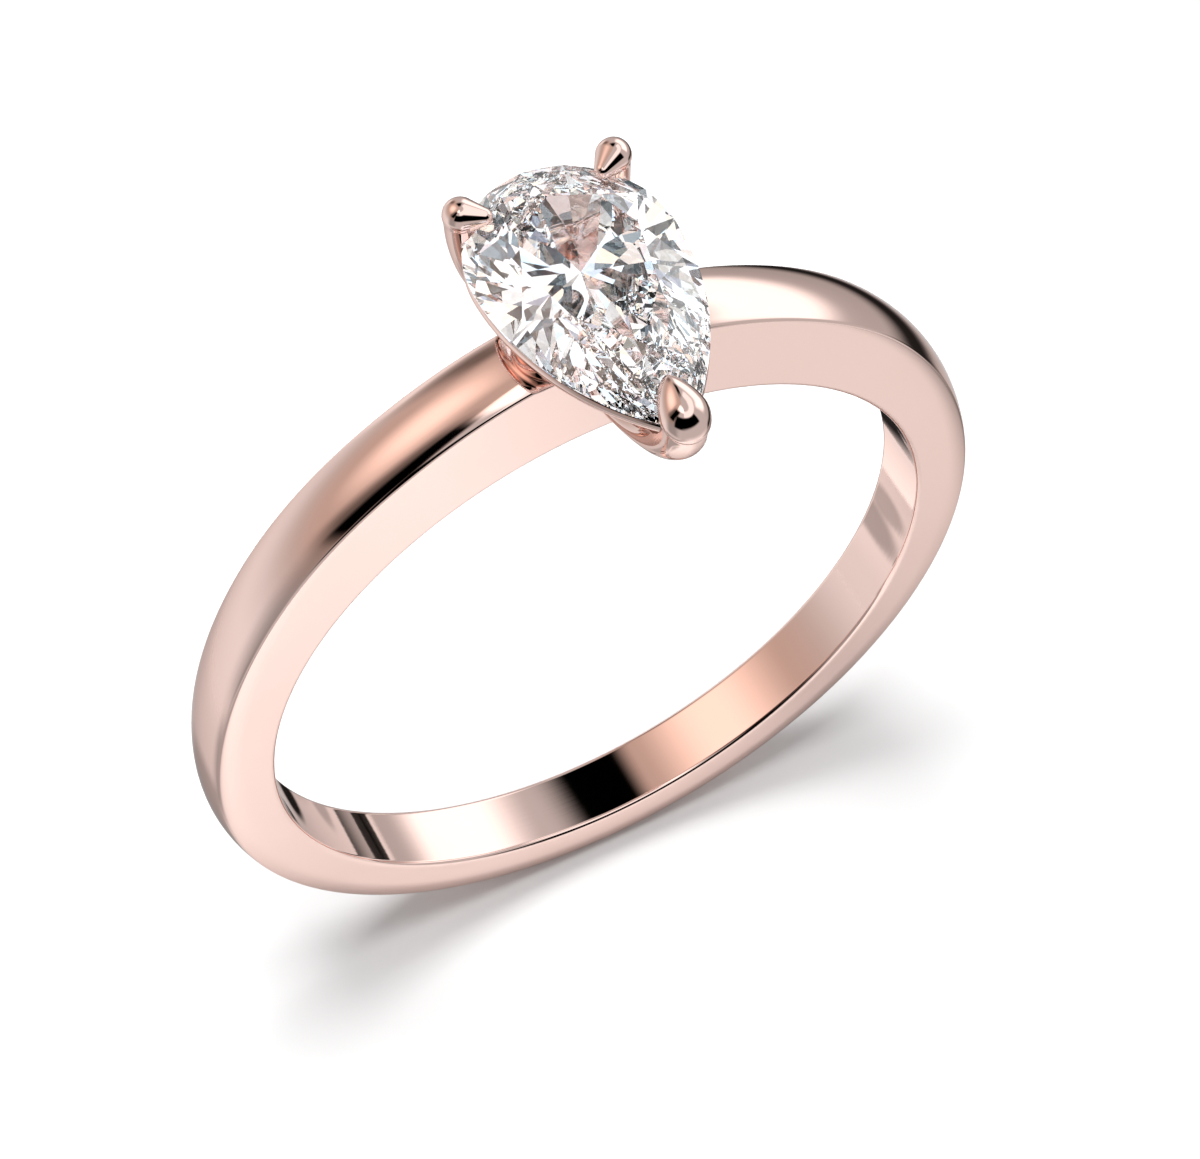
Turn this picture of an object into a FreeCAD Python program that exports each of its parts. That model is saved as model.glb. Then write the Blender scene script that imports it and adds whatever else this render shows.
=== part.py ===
import FreeCAD, Part
import math
import os

V = FreeCAD.Vector

# ---------------------------------------------------------------------------
# Driving dimensions, in mm.  Origin: centre of the finger bore.
# Y is the finger axis, +Z points at the head, the stone's point faces -Y.
# ---------------------------------------------------------------------------
BORE_R = 8.25                 # finger bore radius, US size 6
BAND_HALF_W = 0.85            # half the band's width along the finger
DOME_RISE = 0.23              # height of the outer dome above its side edges
CREASE_R = 0.05               # rounding where the dome meets a side face
SIDE_ROLL_R = 1.80            # radius at which the side faces curve in to the dome
# Height of that curved strip near the head and near the bottom, and the angles between.
SIDE_ROLL_TOP, SIDE_ROLL_LOW = 0.15, 0.56
SIDE_ROLL_FROM, SIDE_ROLL_TO = 20.0, 100.0
BORE_EDGE_R = 0.13            # comfort rounding of the bore's two edges
CORE_DEPTH = 0.8              # stock left inside the bore before it is cut
# Outer radius of the side faces at angles from the head, round to the bottom.
TAPER = ((0, 10.56), (12, 10.46), (25, 10.26), (40, 10.05),
         (55, 9.81), (75, 9.58), (100, 9.52), (180, 9.50))
BAND_SECTIONS = 48

SEAT_R = 1.87                 # rim radius of the round seat cut in the band's top
SEAT_FILLET = 0.22            # concave rounding from the seat's floor to its wall
SEAT_Z = 10.40                # floor of the seat
RELIEF_TOP_R, RELIEF_FLOOR_R, RELIEF_DEPTH = 0.55, 0.25, 0.35   # dimple under the culet

COLLET_HALF_X, COLLET_HALF_Y = 1.62, 1.12
COLLET_HEIGHT = 0.45
COLLET_MOUTH_X, COLLET_MOUTH_Y = 1.36, 0.86
COLLET_THROAT_X, COLLET_THROAT_Y = 1.00, 0.50
COLLET_EDGE_R = 0.06

STONE_HALF_W = 2.205          # half the stone's width
STONE_WIDE_Y = 0.46           # where the stone is widest
STONE_END_LEN = 2.43          # from the widest place to the round end
STONE_TIP_Y = -4.32           # the stone's point
GIRDLE_Z0, GIRDLE_Z1 = 12.30, 12.40
CROWN_H = 0.62
TABLE_RATIO = 0.58
CULET = V(0, 0.20, 10.48)
STAR_LENGTH = 0.52            # how far the star facets reach down the crown
HALVES_LENGTH = 0.77          # how far the lower girdle facets reach to the culet
GIRDLE_SIDES = 48             # flats on each half of the girdle
WING_MAIN_FRACTION = 0.5      # place of the wing's main facet along the wing

RAIL_WIRE_R = 0.16
RAIL_Z = 12.12

# Claw stations from the collet up: x, y, z and wire radius.
CLAW_STATIONS = ((0.80, 0.78, 10.64, 0.20), (1.08, 1.22, 10.66, 0.25),
                 (1.33, 1.62, 10.82, 0.29), (1.50, 1.86, 11.15, 0.32),
                 (1.62, 2.00, 11.65, 0.345), (1.69, 2.08, 12.25, 0.355),
                 (1.71, 2.10, 12.85, 0.355))
CLAW_CAP_R = 0.375
CLAW_TIP = V(1.32, 1.81, 12.90)
CLAW_TIP_R = 0.18

# V-claw stations from the collet out and up: y, z, half-width, half-thickness.
V_STATIONS = ((-0.95, 10.62, 0.66, 0.17), (-1.70, 10.60, 0.68, 0.23),
              (-2.70, 10.83, 0.62, 0.27), (-3.44, 11.20, 0.57, 0.34),
              (-4.00, 11.73, 0.51, 0.43), (-4.18, 12.25, 0.45, 0.46),
              (-4.17, 12.60, 0.43, 0.46))
# The V-claw's cap is a cushion: round on the outside, pointed towards the stone's middle.
V_CAP_Y, V_CAP_Z = -4.17, 12.62
V_CAP_HALF_W, V_CAP_OUT, V_CAP_IN = 0.51, 0.54, 0.83
V_CAP_RISE, V_CAP_DROP = 0.48, 0.30
V_CAP_LEAN = 0.28             # rise of its rim per mm towards the stone's middle
V_CAP_POINT = 1.5             # exponent of the pointed end's outline
V_CAP_FULL = 2.0              # exponent of its cushion-shaped sections
CUSHION_POINTS = 36
CUSHION_LEVELS = (-0.9, -0.65, -0.35, 0, 0.3, 0.55, 0.75, 0.88, 0.96, 0.993)


# ---------------------------------------------------------------------------
# Helpers
# ---------------------------------------------------------------------------
def polyline_face(points):
    """Planar face bounded by straight edges through the points."""
    return Part.Face(Part.makePolygon(points + [points[0]]))


def half_space_cut(solid, point, outward, size=30.0):
    """Remove everything of the solid on the outward side of a plane."""
    box = Part.makeBox(size, size, size, V(-size / 2, -size / 2, 0))
    box.Placement = FreeCAD.Placement(point, FreeCAD.Rotation(V(0, 0, 1), outward))
    return solid.cut(box)


def plane_normal(a, b, c, away_from):
    """Unit normal of the plane through a, b and c, pointing away from a point."""
    n = (b - a).cross(c - a)
    n.normalize()
    return n if n.dot(a - away_from) > 0 else n * -1


def ellipse_wire(centre, half_u, half_v, u_dir, v_dir):
    """Closed elliptical wire with half-axes along two perpendicular unit vectors."""
    if half_u >= half_v:
        major, minor, big, small = u_dir, v_dir, half_u, half_v
    else:
        major, minor, big, small = v_dir, u_dir, half_v, half_u
    if big - small < 1e-6:
        return Part.Wire(Part.makeCircle(big, centre, u_dir.cross(v_dir)))
    curve = Part.Ellipse(centre + major * big, centre + minor * small, centre)
    return Part.Wire(curve.toShape())


def path_directions(points):
    """Unit tangent at each point of a path, by central differences."""
    result = []
    for i in range(len(points)):
        before, after = points[max(i - 1, 0)], points[min(i + 1, len(points) - 1)]
        tangent = after - before
        tangent.normalize()
        result.append(tangent)
    return result


# ---------------------------------------------------------------------------
# Band
# ---------------------------------------------------------------------------
def side_radius():
    """Function that gives the side faces' outer radius at an angle from the head."""
    curve = Part.BSplineCurve()
    curve.interpolate(Points=[V(a, r, 0) for a, r in TAPER], Parameters=[a for a, r in TAPER],
                      InitialTangent=V(1, 0, 0), FinalTangent=V(1, 0, 0))
    return lambda angle: curve.value(angle).y


def circles_meet(c0, r0, c1, r1):
    """Where two circles cross, on the left of the way from c0 to c1; centres are pairs."""
    du, dv = c1[0] - c0[0], c1[1] - c0[1]
    apart = math.hypot(du, dv)
    reach = (r0 * r0 - r1 * r1 + apart * apart) / (2 * apart)
    rise = math.sqrt(r0 * r0 - reach * reach)
    return (c0[0] + (du * reach - dv * rise) / apart, c0[1] + (dv * reach + du * rise) / apart)


def towards(centre, through, r):
    """Point at distance r from a centre, on the way through another point."""
    du, dv = through[0] - centre[0], through[1] - centre[1]
    size = math.hypot(du, dv)
    return (centre[0] + du * r / size, centre[1] + dv * r / size)


def roll_length(angle):
    """Height of the side faces' curved strip at an angle from the head."""
    t = (min(angle, 360.0 - angle) - SIDE_ROLL_FROM) / (SIDE_ROLL_TO - SIDE_ROLL_FROM)
    t = min(max(t, 0.0), 1.0)
    return SIDE_ROLL_TOP + (SIDE_ROLL_LOW - SIDE_ROLL_TOP) * t * t * (3 - 2 * t)


def band_section(angle, radius):
    """Closed D-shaped section of the band at an angle from the head."""
    a = math.radians(angle)
    radial = V(math.sin(a), 0, math.cos(a))
    across = V(0, 1, 0)
    dome_r = (BAND_HALF_W ** 2 + DOME_RISE ** 2) / (2 * DOME_RISE)
    dome = (radius + DOME_RISE - dome_r, 0)
    roll = (radius - roll_length(angle), BAND_HALF_W - SIDE_ROLL_R)

    # Points are radius and y.  The crease rounding touches the roll and the dome from inside.
    crease = circles_meet(dome, dome_r - CREASE_R, roll, SIDE_ROLL_R - CREASE_R)
    on_roll, on_dome = towards(roll, crease, SIDE_ROLL_R), towards(dome, crease, dome_r)
    start = (roll[0], BAND_HALF_W)
    roll_middle = towards(roll, ((start[0] + on_roll[0]) / 2, (start[1] + on_roll[1]) / 2), SIDE_ROLL_R)
    crease_middle = towards(crease, ((on_roll[0] + on_dome[0]) / 2, (on_roll[1] + on_dome[1]) / 2), CREASE_R)

    def at(point, side):
        return radial * point[0] + across * (side * point[1])

    def flank(side):
        return [Part.makeLine(at((BORE_R - CORE_DEPTH, BAND_HALF_W), side), at(start, side)),
                Part.Arc(at(start, side), at(roll_middle, side), at(on_roll, side)).toShape(),
                Part.Arc(at(on_roll, side), at(crease_middle, side), at(on_dome, side)).toShape()]

    inner = (BORE_R - CORE_DEPTH, BAND_HALF_W)
    top = Part.Arc(at(on_dome, 1), at((radius + DOME_RISE, 0), 1), at(on_dome, -1)).toShape()
    edges = [Part.makeLine(at(inner, -1), at(inner, 1))] + flank(1) + [top] + flank(-1)[::-1]
    return Part.Wire(edges)


def bore_cutter():
    """Finger bore with its two rounded edges, as one turned solid."""
    flare = BORE_R + BORE_EDGE_R
    straight = BAND_HALF_W - BORE_EDGE_R
    beyond = BAND_HALF_W + 1.0
    lean = BORE_EDGE_R * (1 - math.sqrt(0.5))

    def arc(side):
        return Part.Arc(V(flare, side * BAND_HALF_W, 0),
                        V(BORE_R + lean, side * (BAND_HALF_W - lean), 0),
                        V(BORE_R, side * straight, 0)).toShape()

    edges = [Part.makeLine(V(0, -beyond, 0), V(flare, -beyond, 0)),
             Part.makeLine(V(flare, -beyond, 0), V(flare, -BAND_HALF_W, 0)),
             arc(-1),
             Part.makeLine(V(BORE_R, -straight, 0), V(BORE_R, straight, 0)),
             arc(1),
             Part.makeLine(V(flare, BAND_HALF_W, 0), V(flare, beyond, 0)),
             Part.makeLine(V(flare, beyond, 0), V(0, beyond, 0)),
             Part.makeLine(V(0, beyond, 0), V(0, -beyond, 0))]
    return Part.Face(Part.Wire(edges)).revolve(V(0, 0, 0), V(0, 1, 0), 360)


def seat_cutter():
    """Round seat with a filleted floor, and the relief dimple under the culet."""
    floor_r = SEAT_R - SEAT_FILLET
    wall_z = SEAT_Z + SEAT_FILLET
    lean = SEAT_FILLET * math.sqrt(0.5)
    top = SEAT_Z + 3.0
    edges = [Part.makeLine(V(0, 0, SEAT_Z - RELIEF_DEPTH), V(RELIEF_FLOOR_R, 0, SEAT_Z - RELIEF_DEPTH)),
             Part.makeLine(V(RELIEF_FLOOR_R, 0, SEAT_Z - RELIEF_DEPTH), V(RELIEF_TOP_R, 0, SEAT_Z)),
             Part.makeLine(V(RELIEF_TOP_R, 0, SEAT_Z), V(floor_r, 0, SEAT_Z)),
             Part.Arc(V(floor_r, 0, SEAT_Z), V(floor_r + lean, 0, wall_z - lean),
                      V(SEAT_R, 0, wall_z)).toShape(),
             Part.makeLine(V(SEAT_R, 0, wall_z), V(SEAT_R, 0, top)),
             Part.makeLine(V(SEAT_R, 0, top), V(0, 0, top)),
             Part.makeLine(V(0, 0, top), V(0, 0, SEAT_Z - RELIEF_DEPTH))]
    return Part.Face(Part.Wire(edges)).revolve(V(0, 0, 0), V(0, 0, 1), 360)


def make_shank():
    radius = side_radius()
    sections = []
    for i in range(BAND_SECTIONS):
        angle = 360.0 * i / BAND_SECTIONS
        sections.append(band_section(angle, radius(min(angle, 360.0 - angle))))
    band = Part.makeLoft(sections, True, False, True)
    return band.cut(bore_cutter()).cut(seat_cutter())


# ---------------------------------------------------------------------------
# Stone
# ---------------------------------------------------------------------------
WING_R = ((STONE_TIP_Y - STONE_WIDE_Y) ** 2 + STONE_HALF_W ** 2) / (2 * STONE_HALF_W)
TIP_ANGLE = math.asin((STONE_WIDE_Y - STONE_TIP_Y) / WING_R)


def outline(s):
    """Point and outward normal on the right half of the girdle outline.

    s runs from 1 at the round end through 0 at the widest place to -1 at the point.
    """
    if s >= 0:
        t = s * math.pi / 2
        point = V(STONE_HALF_W * math.cos(t), STONE_WIDE_Y + STONE_END_LEN * math.sin(t), 0)
        normal = V(math.cos(t) / STONE_HALF_W, math.sin(t) / STONE_END_LEN, 0)
    else:
        t = -s * TIP_ANGLE
        point = V(STONE_HALF_W - WING_R + WING_R * math.cos(t),
                  STONE_WIDE_Y - WING_R * math.sin(t), 0)
        normal = V(math.cos(t), -math.sin(t), 0)
    normal.normalize()
    return point, normal


def mirrored(v):
    return V(-v.x, v.y, v.z)


def facet_stations():
    """Main-facet points with normals, and the points midway, right half first."""
    places = (1.0, 0.5, 0.0, -WING_MAIN_FRACTION, -1.0)
    mains, midways = [], []
    for i, s in enumerate(places):
        point, normal = outline(s)
        if s in (1.0, -1.0):
            point.x, normal = 0.0, V(0, math.copysign(1, s), 0)
        mains.append((point, normal))
        if i:
            midways.append(outline((places[i - 1] + s) / 2)[0])
    left = [(mirrored(p), mirrored(n)) for p, n in mains[-2:0:-1]]
    return mains + left, midways + [mirrored(p) for p in midways[::-1]]


def lifted(point, z):
    return V(point.x, point.y, z)


def planes_meet_at_height(p1, n1, p2, n2, z):
    """Point at height z on the line where two planes meet."""
    a1, b1, c1 = n1.x, n1.y, n1.dot(p1) - n1.z * z
    a2, b2, c2 = n2.x, n2.y, n2.dot(p2) - n2.z * z
    det = a1 * b2 - a2 * b1
    return V((c1 * b2 - c2 * b1) / det, (a1 * c2 - a2 * c1) / det, z)


def facet_planes():
    """Point and outward normal of every crown and pavilion facet."""
    mains, midways = facet_stations()
    middle = V(0, STONE_WIDE_Y - 0.6, (GIRDLE_Z0 + GIRDLE_Z1) / 2)
    table_z = GIRDLE_Z1 + CROWN_H
    count = len(mains)
    planes = [(V(0, 0, table_z), V(0, 0, 1))]

    # A main facet holds its girdle point, its table or culet point and the outline's tangent.
    kites, keels, corners = [], [], []
    for point, normal in mains:
        tangent = V(-normal.y, normal.x, 0)
        rim_top, rim_low = lifted(point, GIRDLE_Z1), lifted(point, GIRDLE_Z0)
        corner = lifted(middle + (point - lifted(middle, 0)) * TABLE_RATIO, table_z)
        corners.append(corner)
        kites.append((rim_top, plane_normal(rim_top, corner, rim_top + tangent, middle)))
        keels.append((rim_low, plane_normal(rim_low, CULET, rim_low + tangent, middle)))
    planes += kites + keels

    star_z = table_z - CROWN_H * STAR_LENGTH
    half_z = GIRDLE_Z0 - (GIRDLE_Z0 - CULET.z) * HALVES_LENGTH
    for i in range(count):
        j = (i + 1) % count
        star = planes_meet_at_height(*kites[i], *kites[j], star_z)
        low = planes_meet_at_height(*keels[i], *keels[j], half_z)
        planes.append((star, plane_normal(corners[i], corners[j], star, middle)))
        mid_top, mid_low = lifted(midways[i], GIRDLE_Z1), lifted(midways[i], GIRDLE_Z0)
        for k in (i, j):
            planes.append((mid_top, plane_normal(star, kites[k][0], mid_top, middle)))
            planes.append((mid_low, plane_normal(low, keels[k][0], mid_low, middle)))
    return planes


def make_diamond():
    right = [outline(1 - 2.0 * i / GIRDLE_SIDES)[0] for i in range(GIRDLE_SIDES + 1)]
    right[0].x = right[-1].x = 0.0
    rim = right + [mirrored(p) for p in right[-2:0:-1]]
    blank = polyline_face([lifted(p, CULET.z - 1) for p in rim]).extrude(V(0, 0, 4))
    for point, normal in facet_planes():
        blank = half_space_cut(blank, point, normal)
    return blank.removeSplitter()


# ---------------------------------------------------------------------------
# Head
# ---------------------------------------------------------------------------
def make_base_collet():
    floor, top = V(0, 0, SEAT_Z), V(0, 0, SEAT_Z + COLLET_HEIGHT)
    x, y = V(1, 0, 0), V(0, 1, 0)
    outer = Part.Face(ellipse_wire(floor, COLLET_HALF_X, COLLET_HALF_Y, x, y))
    body = outer.extrude(V(0, 0, COLLET_HEIGHT))
    body = body.makeFillet(COLLET_EDGE_R, [e for e in body.Edges if e.Closed
                                           and e.BoundBox.ZMin > floor.z + COLLET_HEIGHT / 2])
    mouth = ellipse_wire(top, COLLET_MOUTH_X, COLLET_MOUTH_Y, x, y)
    throat = ellipse_wire(floor, COLLET_THROAT_X, COLLET_THROAT_Y, x, y)
    return body.cut(Part.makeLoft([throat, mouth], True, True))


def make_gallery_rail():
    """Round wire along the girdle outline, its outer side flush with the stone."""
    points = [outline(1 - i / 12.0) for i in range(25)]
    centres = [lifted(p - n * RAIL_WIRE_R, RAIL_Z) for p, n in points]
    last_run = centres[-1] - centres[-2]
    centres.append(centres[-1] + last_run)
    centres[0].x = 0.0
    curve = Part.BSplineCurve()
    curve.interpolate(Points=centres, InitialTangent=V(1, 0, 0), FinalTangent=last_run)
    path = Part.Wire(curve.toShape())
    ring = Part.Wire(Part.makeCircle(RAIL_WIRE_R, centres[0], V(1, 0, 0)))
    half = path.makePipeShell([ring], True, True)
    half = half_space_cut(half, V(0, 0, RAIL_Z), V(-1, 0, 0))
    other = half.mirror(V(0, 0, 0), V(1, 0, 0))
    return half.fuse(other).removeSplitter()


def tapered_cap(centre, radius, tip, tip_radius):
    """Ball drawn out to a small rounded tip, tangent all round."""
    ball = Part.makeSphere(radius, centre)
    axis = tip - centre
    reach = axis.Length
    axis.normalize()
    lean = (radius - tip_radius) / reach
    spread = math.sqrt(1 - lean * lean)
    start, end = centre + axis * (radius * lean), tip + axis * (tip_radius * lean)
    cone = Part.makeCone(radius * spread, tip_radius * spread, (end - start).Length, start, axis)
    return ball.fuse([cone, Part.makeSphere(tip_radius, tip)]).removeSplitter()


def make_claw():
    """Right-hand claw: a curved post and the cap that bends over the crown."""
    centres = [V(x, y, z) for x, y, z, _ in CLAW_STATIONS]
    rings = [Part.Wire(Part.makeCircle(station[3], centre, direction)) for station, centre, direction
             in zip(CLAW_STATIONS, centres, path_directions(centres))]
    post = Part.makeLoft(rings, True, False)
    return post.fuse(tapered_cap(centres[-1], CLAW_CAP_R, CLAW_TIP, CLAW_TIP_R))


def cushion_section(level):
    """Closed outline of the V-claw's cap at a level from -1, its bottom, to 1, its top."""
    shrink = (1 - abs(level) ** V_CAP_FULL) ** (1 / V_CAP_FULL)
    points = []
    for i in range(CUSHION_POINTS):
        a = 2 * math.pi * i / CUSHION_POINTS
        c, s = math.cos(a), math.sin(a)
        if s > 0:
            e = V_CAP_POINT
            reach = ((abs(c) / V_CAP_HALF_W) ** e + (s / V_CAP_IN) ** e) ** (-1 / e)
        else:
            reach = 1 / math.hypot(c / V_CAP_HALF_W, s / V_CAP_OUT)
        x, y = c * reach * shrink, s * reach * shrink
        height = (V_CAP_RISE if level > 0 else V_CAP_DROP) * level
        points.append(V(x, V_CAP_Y + y, V_CAP_Z + V_CAP_LEAN * y + height))
    curve = Part.BSplineCurve()
    curve.interpolate(Points=points, PeriodicFlag=True)
    return Part.Wire(curve.toShape())


def make_v_claw():
    """Claw at the stone's point: a broad strut that sweeps up into a pointed cushion."""
    centres = [V(0, y, z) for y, z, _, _ in V_STATIONS]
    across = V(1, 0, 0)
    rings = []
    for (_, _, half_w, half_t), centre, run in zip(V_STATIONS, centres, path_directions(centres)):
        rings.append(ellipse_wire(centre, half_w, half_t, across, run.cross(across)))
    strut = Part.makeLoft(rings, True, False)
    cap = Part.makeLoft([cushion_section(level) for level in CUSHION_LEVELS], True, False)
    return strut.fuse(cap)


def main():
    shank = make_shank()
    diamond = make_diamond()
    collet = make_base_collet().cut(diamond)
    rail = make_gallery_rail().cut(diamond)
    fixed = [diamond, rail, collet, shank]
    claw = make_claw()
    v_claw = make_v_claw()
    for piece in fixed:
        claw = claw.cut(piece)
        v_claw = v_claw.cut(piece)
    nodes = {"shank": shank, "base_collet": collet, "gallery_rail": rail,
             "claw_right": claw, "claw_left": claw.mirror(V(0, 0, 0), V(1, 0, 0)),
             "v_claw": v_claw, "diamond": diamond}
    os.makedirs("parts", exist_ok=True)
    for name, shape in nodes.items():
        shape.exportStep("parts/" + name + ".step")
        box = shape.BoundBox
        print(name, "valid", shape.isValid(), "solids", len(shape.Solids), "volume %.3f" % shape.Volume,
              "x %.2f %.2f y %.2f %.2f z %.2f %.2f" % (box.XMin, box.XMax, box.YMin, box.YMax,
                                                      box.ZMin, box.ZMax))


main()
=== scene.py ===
import math

import bpy
import numpy as np
from mathutils import Matrix, Vector


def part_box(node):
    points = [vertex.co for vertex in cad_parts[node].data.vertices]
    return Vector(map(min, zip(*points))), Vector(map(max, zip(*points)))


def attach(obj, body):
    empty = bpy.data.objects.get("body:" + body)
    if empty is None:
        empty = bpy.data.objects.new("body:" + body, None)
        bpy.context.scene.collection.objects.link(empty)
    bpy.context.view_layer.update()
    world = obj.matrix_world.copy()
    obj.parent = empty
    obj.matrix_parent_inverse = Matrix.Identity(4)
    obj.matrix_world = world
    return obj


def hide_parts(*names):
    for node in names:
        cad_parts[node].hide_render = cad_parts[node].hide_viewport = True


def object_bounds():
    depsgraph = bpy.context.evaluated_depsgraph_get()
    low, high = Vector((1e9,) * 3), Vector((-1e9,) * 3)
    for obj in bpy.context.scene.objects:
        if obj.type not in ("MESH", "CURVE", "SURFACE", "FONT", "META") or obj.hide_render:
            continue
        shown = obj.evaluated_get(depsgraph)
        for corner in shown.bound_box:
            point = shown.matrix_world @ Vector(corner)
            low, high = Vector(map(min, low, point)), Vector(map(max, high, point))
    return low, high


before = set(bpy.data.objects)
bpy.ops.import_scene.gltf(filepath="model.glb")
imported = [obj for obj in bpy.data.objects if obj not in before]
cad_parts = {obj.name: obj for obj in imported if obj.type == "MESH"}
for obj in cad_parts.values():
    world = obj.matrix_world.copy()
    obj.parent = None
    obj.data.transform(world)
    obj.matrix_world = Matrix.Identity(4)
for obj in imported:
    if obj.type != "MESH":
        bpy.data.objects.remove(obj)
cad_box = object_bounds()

MM = 0.001

# ---------------------------------------------------------------------------
# Dimensions shared with the CAD model, in mm.  Y is the finger axis, +Z points
# at the head and the stone's point faces -Y.
# ---------------------------------------------------------------------------
BORE_R = 8.25
BAND_HALF_W = 0.85
DOME_RISE = 0.23
CREASE_R = 0.05
SIDE_ROLL_R, SIDE_ROLL_TOP, SIDE_ROLL_LOW = 1.80, 0.15, 0.56
SIDE_ROLL_FROM, SIDE_ROLL_TO = 20.0, 100.0
BORE_EDGE_R = 0.13
TAPER = ((0, 10.56), (12, 10.46), (25, 10.26), (40, 10.05),
         (55, 9.81), (75, 9.58), (100, 9.52), (180, 9.50))

SEAT_R, SEAT_FILLET, SEAT_Z = 1.87, 0.22, 10.40
RELIEF_TOP_R, RELIEF_FLOOR_R, RELIEF_DEPTH = 0.55, 0.25, 0.35
LIP_BLEND = 0.14
SEAT_SPAN = 14.0              # degrees from the head within which the seat cuts the band
WALL_FROM, WALL_SLOPE = 0.95, 3    # share of the fillet after which the seat's wall is straight

COLLET_HALF_X, COLLET_HALF_Y, COLLET_HEIGHT = 1.62, 1.12, 0.45
COLLET_MOUTH_X = 1.36         # the mouth is as much longer than the throat as it is wider
COLLET_THROAT_X, COLLET_THROAT_Y = 1.00, 0.50

STONE_HALF_W, STONE_WIDE_Y, STONE_END_LEN, STONE_TIP_Y = 2.205, 0.46, 2.43, -4.32
RAIL_WIRE_R, RAIL_Z = 0.16, 12.12

CLAW_STATIONS = ((0.80, 0.78, 10.64, 0.20), (1.08, 1.22, 10.66, 0.25),
                 (1.33, 1.62, 10.82, 0.29), (1.50, 1.86, 11.15, 0.32),
                 (1.62, 2.00, 11.65, 0.345), (1.69, 2.08, 12.25, 0.355),
                 (1.71, 2.10, 12.85, 0.355))
CLAW_CAP_R = 0.375
CLAW_TIP, CLAW_TIP_R = (1.32, 1.81, 12.90), 0.18
V_STATIONS = ((-0.95, 10.62, 0.66, 0.17), (-1.70, 10.60, 0.68, 0.23),
              (-2.70, 10.83, 0.62, 0.27), (-3.44, 11.20, 0.57, 0.34),
              (-4.00, 11.73, 0.51, 0.43), (-4.18, 12.25, 0.45, 0.46),
              (-4.17, 12.60, 0.43, 0.46))
V_CAP_Y, V_CAP_Z, V_CAP_LEAN = -4.17, 12.62, 0.28
V_CAP_HALF_W, V_CAP_OUT, V_CAP_IN = 0.51, 0.54, 0.83
V_CAP_RISE, V_CAP_DROP = 0.48, 0.30
V_CAP_POINT, V_CAP_FULL = 1.5, 2.0

STONE_GAP = 0.006             # air between the metal and the stone it holds
STONE_EDGE_BLEND, COLLET_BLEND, CLAW_BLEND, V_CLAW_BLEND = 0.03, 0.06, 0.015, 0.03
NEAR_FLOOR = 34.0             # reach of the floor plate, painted with light and shade, that the metal mirrors

# Steps of the meshes: pitch of the grids in mm, points along a wire's path while its surface is
# found and while it is settled, and the band's steps round the finger in degrees
PITCH, CLAW_PITCH = 0.03, 0.025
ROUGH_COUNT, FINE_COUNT = 40, 200
SETTLE_ROUNDS, LEAST_SLOPE = 4, 0.05    # moves that settle a surface, and a guard on their length
SEAT_ROUNDS, CORNER_ROUNDS = 30, 8      # rounds that settle the seat's surface and the band's corner
RAIL_POINTS, RAIL_SKIP = 90, 5          # points on each part of its path, of which rough takes one in 5
STONE_BATCH = 50000                     # points measured against the stone at once
HEAD_SPAN, HEAD_STEP, REST_COUNT = 13.0, 0.08, 336
DOME_ROWS, CREASE_ROWS, ROLL_ROWS, EDGE_ROWS = 36, 9, 13, 9
SIDE_ROWS, BORE_ROWS = (0.03, 0.3, 0.7, 0.99), (0.98, 0.6, 0.2, 0.0)    # as shares of the way
ROLL_LEAST = 0.01                       # mm that the side face always curves in over


# ---------------------------------------------------------------------------
# Curves
# ---------------------------------------------------------------------------
def spline(xs, ys, clamped=False):
    """Cubic spline through the points, its end slopes zero or its ends natural."""
    xs, ys = np.array(xs, float), np.array(ys, float)
    n, h = len(xs), np.diff(xs)
    a, rhs = np.zeros((n, n)), np.zeros((n,) + ys.shape[1:])
    step = np.diff(ys, axis=0)
    for i in range(1, n - 1):
        a[i, i - 1:i + 2] = h[i - 1], 2 * (h[i - 1] + h[i]), h[i]
        rhs[i] = 6 * (step[i] / h[i] - step[i - 1] / h[i - 1])
    if clamped:
        a[0, :2], rhs[0] = (2 * h[0], h[0]), 6 * step[0] / h[0]
        a[-1, -2:], rhs[-1] = (h[-1], 2 * h[-1]), -6 * step[-1] / h[-1]
    else:
        a[0, 0] = a[-1, -1] = 1
    m = np.linalg.solve(a, rhs)

    def value(x):
        x = np.asarray(x, float)
        i = np.clip(np.searchsorted(xs, x) - 1, 0, n - 2)
        wide = (Ellipsis,) + (None,) * (ys.ndim - 1)
        d, u, v = h[i][wide], (xs[i + 1] - x)[wide], (x - xs[i])[wide]
        return ((m[i] * u ** 3 + m[i + 1] * v ** 3) / (6 * d)
                + (ys[i] / d - m[i] * d / 6) * u + (ys[i + 1] / d - m[i + 1] * d / 6) * v)
    return value


def along(stations, count):
    """The stations' values at even steps of a smooth path through them."""
    s = np.array(stations, float)
    run = np.concatenate([[0], np.cumsum(np.linalg.norm(np.diff(s[:, :3], axis=0), axis=1))])
    return spline(run, s)(np.linspace(0, run[-1], count))


def blend_min(a, b, k):
    """Smaller of two values, with the corner between them rounded over a width k."""
    h = np.maximum(k - np.abs(a - b), 0) / k
    return np.minimum(a, b) - h * h * k / 4


def blend_max(a, b, k):
    return -blend_min(-a, -b, k)


# ---------------------------------------------------------------------------
# Meshes
# ---------------------------------------------------------------------------
def mesh_object(name, points, faces, normals, material):
    """A piece from points in mm, with the given vertex normals for its shading."""
    mesh = bpy.data.meshes.new(name)
    mesh.from_pydata((np.asarray(points) * MM).tolist(), [], np.asarray(faces).tolist())
    mesh.polygons.foreach_set("use_smooth", [True] * len(mesh.polygons))
    mesh.update()
    mesh.normals_split_custom_set_from_vertices(np.asarray(normals).tolist())
    mesh.materials.append(material)
    piece = bpy.data.objects.new(name, mesh)
    bpy.context.scene.collection.objects.link(piece)
    return piece


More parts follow.
